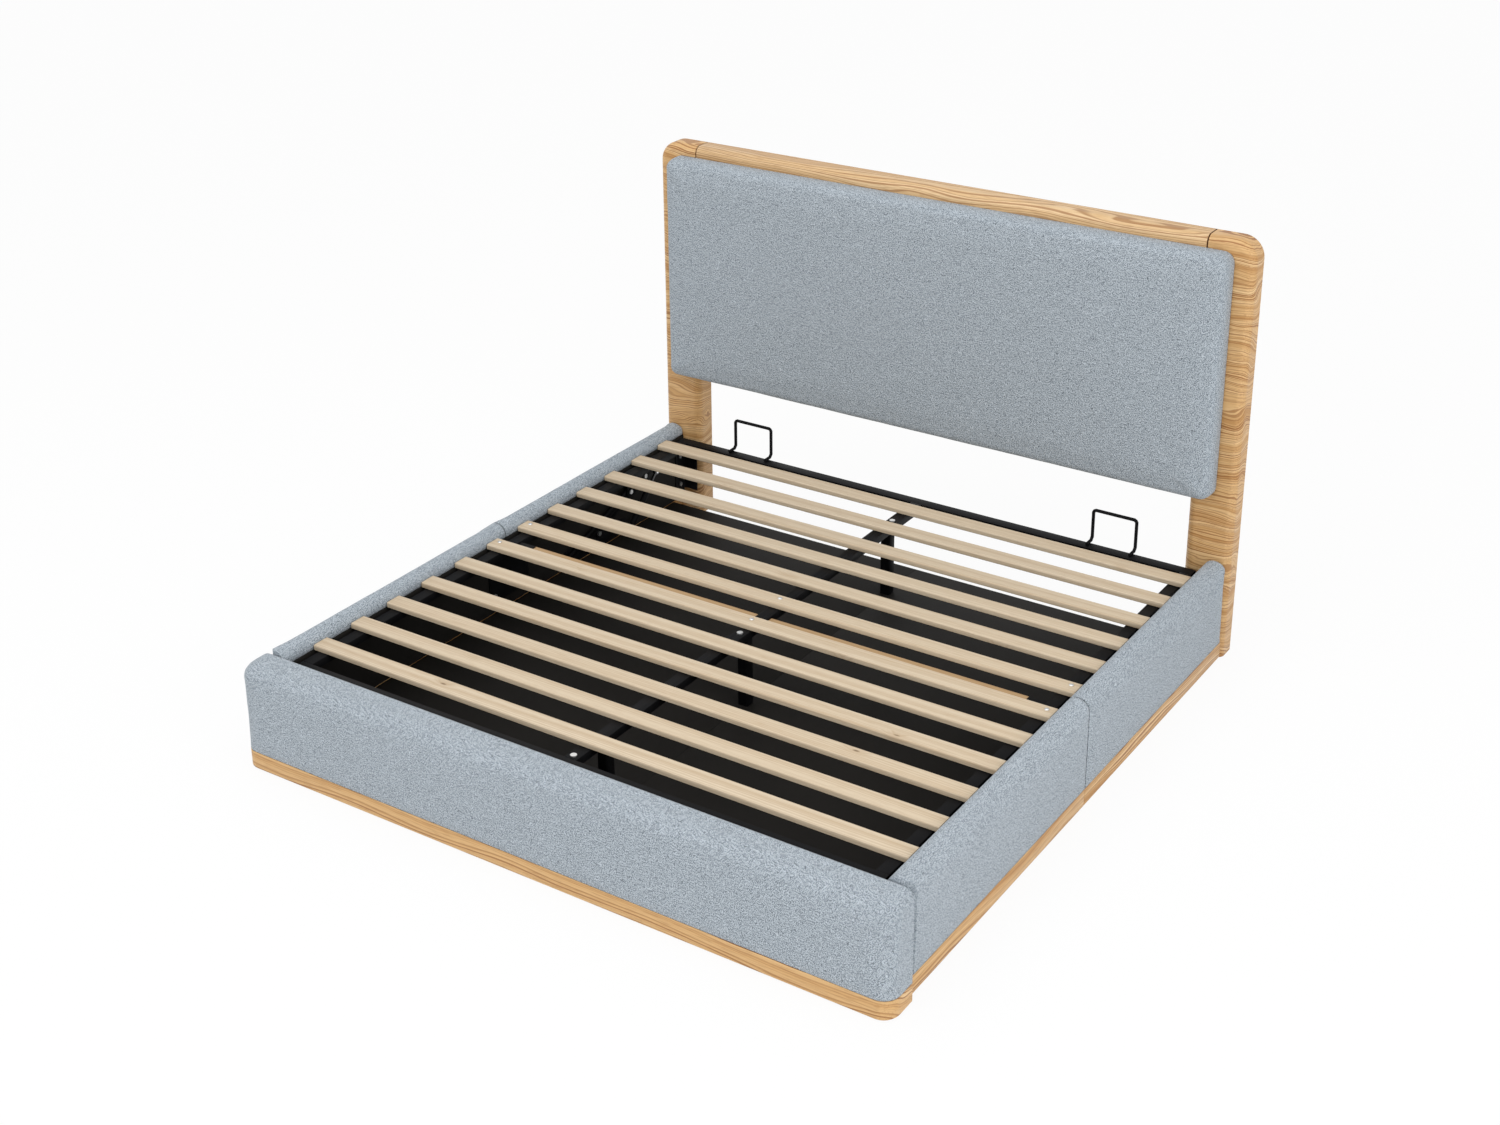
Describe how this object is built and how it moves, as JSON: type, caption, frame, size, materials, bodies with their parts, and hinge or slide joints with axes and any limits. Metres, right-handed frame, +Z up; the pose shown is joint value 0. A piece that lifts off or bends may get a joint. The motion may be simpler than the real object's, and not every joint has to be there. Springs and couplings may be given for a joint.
{
  "type": "ottoman bed",
  "caption": "Upholstered ottoman bed with a padded headboard in an oak frame, round-edged rails and a slatted platform that lifts on gas struts above a storage floor.",
  "frame": {"origin": "on the floor below the middle of the bed's overall length and width", "axes": "+X to the right side, +Y to the headboard, +Z up"},
  "size_m": [2.178, 2.218, 1.391],
  "materials": {
    "oak": "satin clear lacquer",
    "fabric": "pebbled boucle weave",
    "pine": "planed, unfinished",
    "lined_board": "black lining",
    "black_steel": "black powder coat",
    "bolt_steel": "zinc plated",
    "rod_steel": "dark nitrided, polished"
  },
  "bodies": {
    "bed_frame": {"headboard_post_left": "oak", "headboard_post_right": "oak", "headboard_top_rail": "oak", "headboard_lower_rail": "pine", "headboard_panel": "lined_board", "headboard_pad": "fabric", "footboard_core": "lined_board", "footboard_pad": "fabric", "footboard_plinth": "oak", "rail_core_front_left": "lined_board", "rail_core_front_right": "lined_board", "rail_core_rear_left": "lined_board", "rail_core_rear_right": "lined_board", "rail_pad_front_left": "fabric", "rail_pad_front_right": "fabric", "rail_pad_rear_left": "fabric", "rail_pad_rear_right": "fabric", "rail_plinth_front_left": "oak", "rail_plinth_front_right": "oak", "rail_plinth_rear_left": "oak", "rail_plinth_rear_right": "oak", "rail_joint_plates": "black_steel", "corner_brackets": "black_steel", "frame_bolts": "bolt_steel", "storage_floor": "lined_board", "floor_bearers": "lined_board", "lift_base_plates": "black_steel", "base_pivot_bolts": "bolt_steel"},
    "lift_arms": {"lift_arm_left": "black_steel", "lift_arm_right": "black_steel"},
    "platform": {"side_tubes": "black_steel", "centre_tube": "black_steel", "head_tube": "black_steel", "foot_tube": "black_steel", "lift_brackets": "black_steel", "platform_pivot_bolts": "bolt_steel", "cross_battens": "pine", "batten_brackets": "black_steel", "centre_legs": "black_steel", "centre_tube_bolts": "bolt_steel", "mattress_stop_left": "black_steel", "mattress_stop_right": "black_steel", "slat_01": "pine", "slat_02": "pine", "slat_03": "pine", "slat_04": "pine", "slat_05": "pine", "slat_06": "pine", "slat_07": "pine", "slat_08": "pine", "slat_09": "pine", "slat_10": "pine", "slat_11": "pine", "slat_12": "pine", "slat_screws": "bolt_steel"},
    "stay_arms": {"stay_arm_left": "black_steel", "stay_arm_right": "black_steel", "stay_arm_pins": "bolt_steel"},
    "strut_cylinders": {"strut_cylinders": "black_steel"},
    "strut_rods": {"strut_rods": "rod_steel"}
  },
  "joints": [
    {"name": "lift_arm_swing", "type": "hinge", "parent": "bed_frame", "child": "lift_arms", "pos_m": [0, 0.494, 0.12], "axis": [1, 0, 0], "range_deg": [0, 57.2]},
    {"name": "platform_tilt", "type": "hinge", "parent": "lift_arms", "child": "platform", "pos_m": [0, 0.757, 0.242], "axis": [-1, 0, 0], "range_deg": [0, 97.2]},
    {"name": "stay_arm_swing", "type": "hinge", "parent": "bed_frame", "child": "stay_arms", "pos_m": [0, 0.31, 0.091], "axis": [1, 0, 0], "range_deg": [0, 49.47]},
    {"name": "strut_swing", "type": "hinge", "parent": "bed_frame", "child": "strut_cylinders", "pos_m": [0, 0.635, 0.088], "axis": [1, 0, 0], "range_deg": [0, 57.41]},
    {"name": "strut_extend", "type": "slide", "parent": "strut_cylinders", "child": "strut_rods", "axis": [0, 0.7114, 0.7028], "range_m": [0, 0.0745]}
  ],
  "couplings": [
    {"joint": "platform_tilt", "follows": "lift_arm_swing", "ratio": 1.6994},
    {"joint": "stay_arm_swing", "follows": "lift_arm_swing", "ratio": 0.86489},
    {"joint": "strut_swing", "follows": "lift_arm_swing", "ratio": 1.0038},
    {"joint": "strut_extend", "follows": "lift_arm_swing", "m_per_rad": 0.074628}
  ]
}
